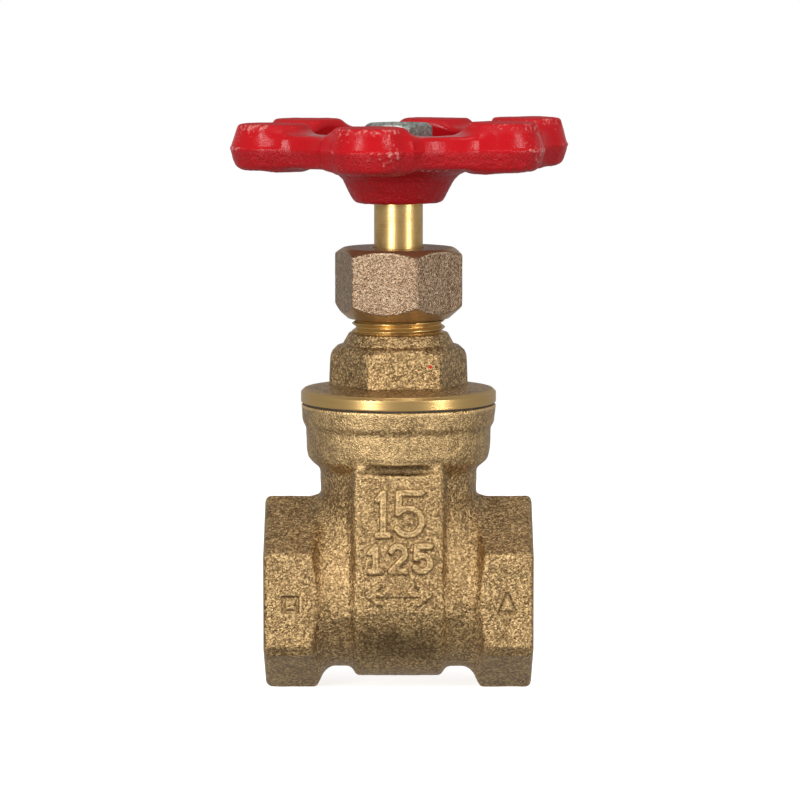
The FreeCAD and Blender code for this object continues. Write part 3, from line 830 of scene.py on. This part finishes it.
def red_enamel():
    """Thick gloss paint over a rough casting, rubbed pale on its outer edges, the pale colour partly a
    painted highlight.
    """
    s = Shader("red_enamel")
    under = s.layer("cast")
    sand = s.noise(1.6, 3.0, 0.65)
    pores = s.noise(3.6, 2.0)
    patches = s.noise(0.3, 3.0)
    red = s.mix(patches, (0.36, 0.003, 0.006), (0.46, 0.005, 0.009))
    red = s.mix(s.math("MULTIPLY", under, 0.35), red, (0.26, 0.003, 0.006))
    # Pale on outer edges, the parting line and lobe tops: partly rubbed paint, partly a painted highlight.
    rubbed_and_lit = s.math("ADD", s.layer("edge_wear_and_highlight"), s.math("MULTIPLY", sand, 0.9))
    rubbed_and_lit = s.math("ADD", rubbed_and_lit, s.math("MULTIPLY", s.layer("gripped"), 0.12))
    scuffs_and_highlight = s.ramp(rubbed_and_lit, (0.7, 0.0), (0.92, 1.0))
    red = s.mix(s.math("MULTIPLY", scuffs_and_highlight, 0.7), red, (0.72, 0.34, 0.31))
    pits = s.math("MULTIPLY", s.ramp(pores, (0.59, 0.0), (0.68, 1.0)), under)
    red = s.mix(s.math("MULTIPLY", pits, 0.7), red, (0.10, 0.02, 0.012))
    height = s.math("ADD", s.math("MULTIPLY", sand, 0.7), s.math("MULTIPLY", pores, 0.35))
    height = s.math("MULTIPLY", height, s.blend(under, 0.12, 1.0))
    return s.finish(
        base_color=red,
        roughness=s.blend(s.layer("gripped"), s.blend(under, 0.24, 0.36), 0.6),
        specular_ior_level=0.18,
        normal=s.bump(height, 0.42, 1.0),
    )


def zinc(name):
    s = Shader(name)
    mottle = s.noise(1.6, 4.0, 0.7)
    fine = s.noise(6.0, 2.0)
    dark, middle, light = (0.16, 0.18, 0.16), (0.36, 0.38, 0.35), (0.62, 0.64, 0.60)
    colour = s.ramp(mottle, (0.35, dark), (0.55, middle), (0.7, light))
    return s.finish(
        base_color=colour, metallic=0.8, roughness=s.blend(fine, 0.32, 0.6), normal=s.bump(fine, 0.03, 0.6)
    )


def packing_grey(name, dark, light):
    """Pressed fibre: flecked and matt."""
    s = Shader(name)
    flecks = s.noise(3.0, 4.0, 0.7)
    return s.finish(
        base_color=s.ramp(flecks, (0.35, dark), (0.7, light)),
        roughness=0.85,
        normal=s.bump(flecks, 0.05, 0.7),
    )


# Putting it together

BODY_SKIN = (0.07, 0.041, 0.016), (0.36, 0.225, 0.096), (0.88, 0.62, 0.30)  # dark, middle, light
NUT_SKIN = (0.12, 0.07, 0.04), (0.31, 0.20, 0.12), (0.60, 0.45, 0.30)
BRIGHT_BRASS = (0.66, 0.43, 0.16)
NUT_CUT_BRASS = (0.55, 0.36, 0.17)
BONNET_PAINT_SPECK, NUT_PAINT_SPECK = (5.2, -9.6, 38.0), (-7.0, -7.4, 50.6)

body_brass = cast_brass("body_brass", BODY_SKIN, BRIGHT_BRASS)
bonnet_brass = cast_brass("bonnet_brass", BODY_SKIN, BRIGHT_BRASS, [BONNET_PAINT_SPECK])
nut_brass = cast_brass("packing_nut_brass", NUT_SKIN, NUT_CUT_BRASS, [NUT_PAINT_SPECK])
made = [
    (build_body(), "valve_body", "body", "cast_brass", body_brass),
    (build_bonnet(), "bonnet", "body", "cast_brass", bonnet_brass),
    (build_packing_nut(), "packing_nut", "body", "forged_brass", nut_brass),
    (build_handwheel(), "handwheel", "spindle", "red_enamel", red_enamel()),
    (build_wheel_nut(), "wheel_nut", "spindle", "zinc_steel", zinc("zinc_nut")),
]
for piece, node, body, slot, material in made:
    piece.data.materials.append(material)
    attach(piece, body)
    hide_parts(node)

lathe_brass = turned_brass("lathe_brass", BRIGHT_BRASS)
graphite = packing_grey("graphite_packing", (0.015, 0.015, 0.016), (0.07, 0.07, 0.07))
kept = {
    "stem": lathe_brass,
    "stem_retaining_ring": lathe_brass,
    "packing_gland": lathe_brass,
    "packing_washer": lathe_brass,
    "wedge": turned_brass("wedge_brass", (0.62, 0.45, 0.20)),
    "bonnet_gasket": packing_grey("gasket_fibre", (0.012, 0.011, 0.009), (0.09, 0.08, 0.07)),
    "thrust_washer": zinc("zinc_washer"),
    "wheel_lock_washer": zinc("zinc_spring_washer"),
    "packing_ring_1": graphite,
    "packing_ring_2": graphite,
    "packing_ring_3": graphite,
}
for node, material in kept.items():
    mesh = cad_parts[node].data
    mesh.materials.clear()
    mesh.materials.append(material)


# Camera, light and floor

CAMERA_DISTANCE, CAMERA_PITCH = 700 * MM, math.radians(6.1)
CAMERA_AIM = Vector((0.25 * MM, 0.0, 31.6 * MM))
CAMERA_LENS, SENSOR = 191.2, 36.0


def add_camera():
    camera = bpy.data.objects.new("camera", bpy.data.cameras.new("camera"))
    camera.data.lens = CAMERA_LENS
    camera.data.sensor_width = SENSOR
    camera.data.clip_start = 0.01
    back = Vector((0, -math.cos(CAMERA_PITCH), math.sin(CAMERA_PITCH)))
    camera.location = CAMERA_AIM + back * CAMERA_DISTANCE
    camera.rotation_euler = (math.pi / 2 - CAMERA_PITCH, 0, 0)
    bpy.context.scene.collection.objects.link(camera)
    bpy.context.scene.camera = camera


def add_light(name, azimuth, elevation, distance, width, height, power):
    """A soft box that faces the valve. Azimuth is in degrees from the front towards +X."""
    light = bpy.data.objects.new(name, bpy.data.lights.new(name, "AREA"))
    light.data.shape = "RECTANGLE"
    light.data.size, light.data.size_y = width, height
    light.data.energy = power
    azimuth, elevation = math.radians(azimuth), math.radians(elevation)
    flat = math.cos(elevation)
    away = Vector((math.sin(azimuth) * flat, -math.cos(azimuth) * flat, math.sin(elevation)))
    light.location = CAMERA_AIM + away * distance
    light.rotation_euler = away.to_track_quat("Z", "Y").to_euler()
    bpy.context.scene.collection.objects.link(light)


def add_floor():
    """A pale floor that fades out before its edge."""
    radius, lowest, sides = 0.5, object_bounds()[0][2], 64
    mesh = bpy.data.meshes.new("floor")
    angles = np.linspace(0, 2 * math.pi, sides, endpoint=False)
    corners = [(radius * math.cos(a), radius * math.sin(a), lowest) for a in angles]
    mesh.from_pydata(corners, [], [range(sides)])
    floor = bpy.data.objects.new("floor", mesh)
    bpy.context.scene.collection.objects.link(floor)
    s = Shader("floor")
    flat = s.scaled(s.place, (1, 1, 0))
    away = s.add("ShaderNodeVectorMath", {0: flat}, operation="LENGTH").outputs["Value"]
    fade = s.ramp(s.math("DIVIDE", away, radius / MM), (0.15, 1.0), (0.85, 0.0))
    white = (0.93, 0.93, 0.93, 1)
    mesh.materials.append(
        s.finish(base_color=white, roughness=0.9, emission_color=white, emission_strength=0.78, alpha=fade)
    )
    floor.visible_diffuse = False
    floor.visible_glossy = False


SKY_LIGHT = 0.42


def add_world():
    """White to look at, and dimmer as a source of light."""
    world = bpy.data.worlds.new("studio")
    bpy.context.scene.world = world
    world.use_nodes = True
    tree = world.node_tree
    seen = tree.nodes.new("ShaderNodeLightPath").outputs["Is Camera Ray"]
    strength = tree.nodes.new("ShaderNodeMix")
    strength.inputs[2].default_value = SKY_LIGHT
    strength.inputs[3].default_value = 1.0
    tree.links.new(seen, strength.inputs[0])
    background = tree.nodes["Background"]
    background.inputs["Color"].default_value = (1, 1, 1, 1)
    tree.links.new(strength.outputs[0], background.inputs["Strength"])


add_camera()
add_world()
add_floor()
add_light("left", azimuth=-33, elevation=14, distance=0.9, width=0.2, height=0.6, power=6.8)
add_light("right", azimuth=50, elevation=14, distance=0.9, width=0.16, height=0.6, power=4.4)
add_light("overhead", azimuth=0, elevation=75, distance=0.8, width=0.4, height=0.4, power=1.5)
bpy.context.scene.view_settings.view_transform = "Standard"
